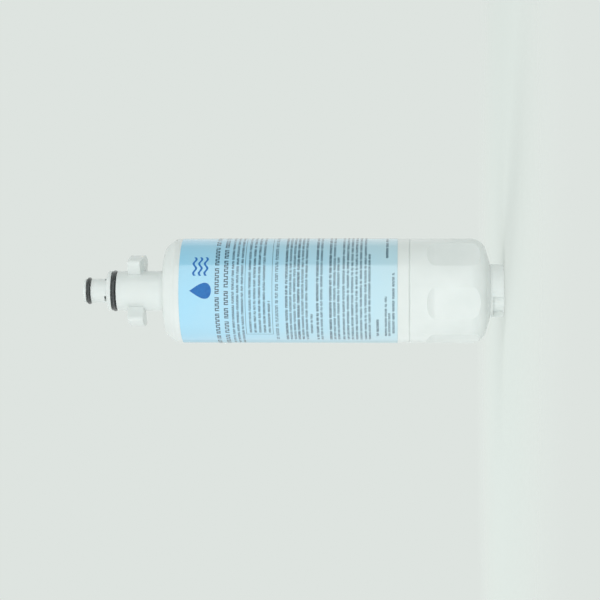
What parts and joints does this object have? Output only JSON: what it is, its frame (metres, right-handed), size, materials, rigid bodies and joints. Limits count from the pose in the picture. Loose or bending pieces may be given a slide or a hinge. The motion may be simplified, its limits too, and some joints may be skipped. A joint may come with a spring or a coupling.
{
  "type": "refrigerator water filter cartridge",
  "caption": "Cylindrical refrigerator water filter cartridge with a bayonet nozzle sealed by rubber rings, a printed film round its tube and a grip end with finger flats.",
  "frame": {"origin": "on the axis, at the foot of the end boss that the cartridge stands on", "axes": "+Z along the axis from the grip end up to the nozzle's tip; the bayonet ears point along +X and -X; the front of the label faces -Y"},
  "size_m": [0.0436, 0.0436, 0.1749],
  "materials": {
    "white_plastic": "moulded white polypropylene, softly glossy",
    "label_film": "pale blue printed film with a satin face",
    "ring_rubber": "black moulded rubber with a thin film of grease",
    "pressed_carbon": "matt black pressed carbon grains",
    "filter_felt": "white bonded felt",
    "cap_plastic": "moulded natural polypropylene"
  },
  "bodies": {
    "root": {"housing": "white_plastic", "end_handle": "white_plastic", "label": "label_film", "outlet_o_ring": "ring_rubber", "inlet_o_ring": "ring_rubber", "carbon_block": "pressed_carbon", "prefilter_wrap": "filter_felt", "fines_liner": "filter_felt", "outlet_end_cap": "cap_plastic", "blind_end_cap": "cap_plastic", "nipple_o_ring": "ring_rubber"}
  },
  "joints": []
}
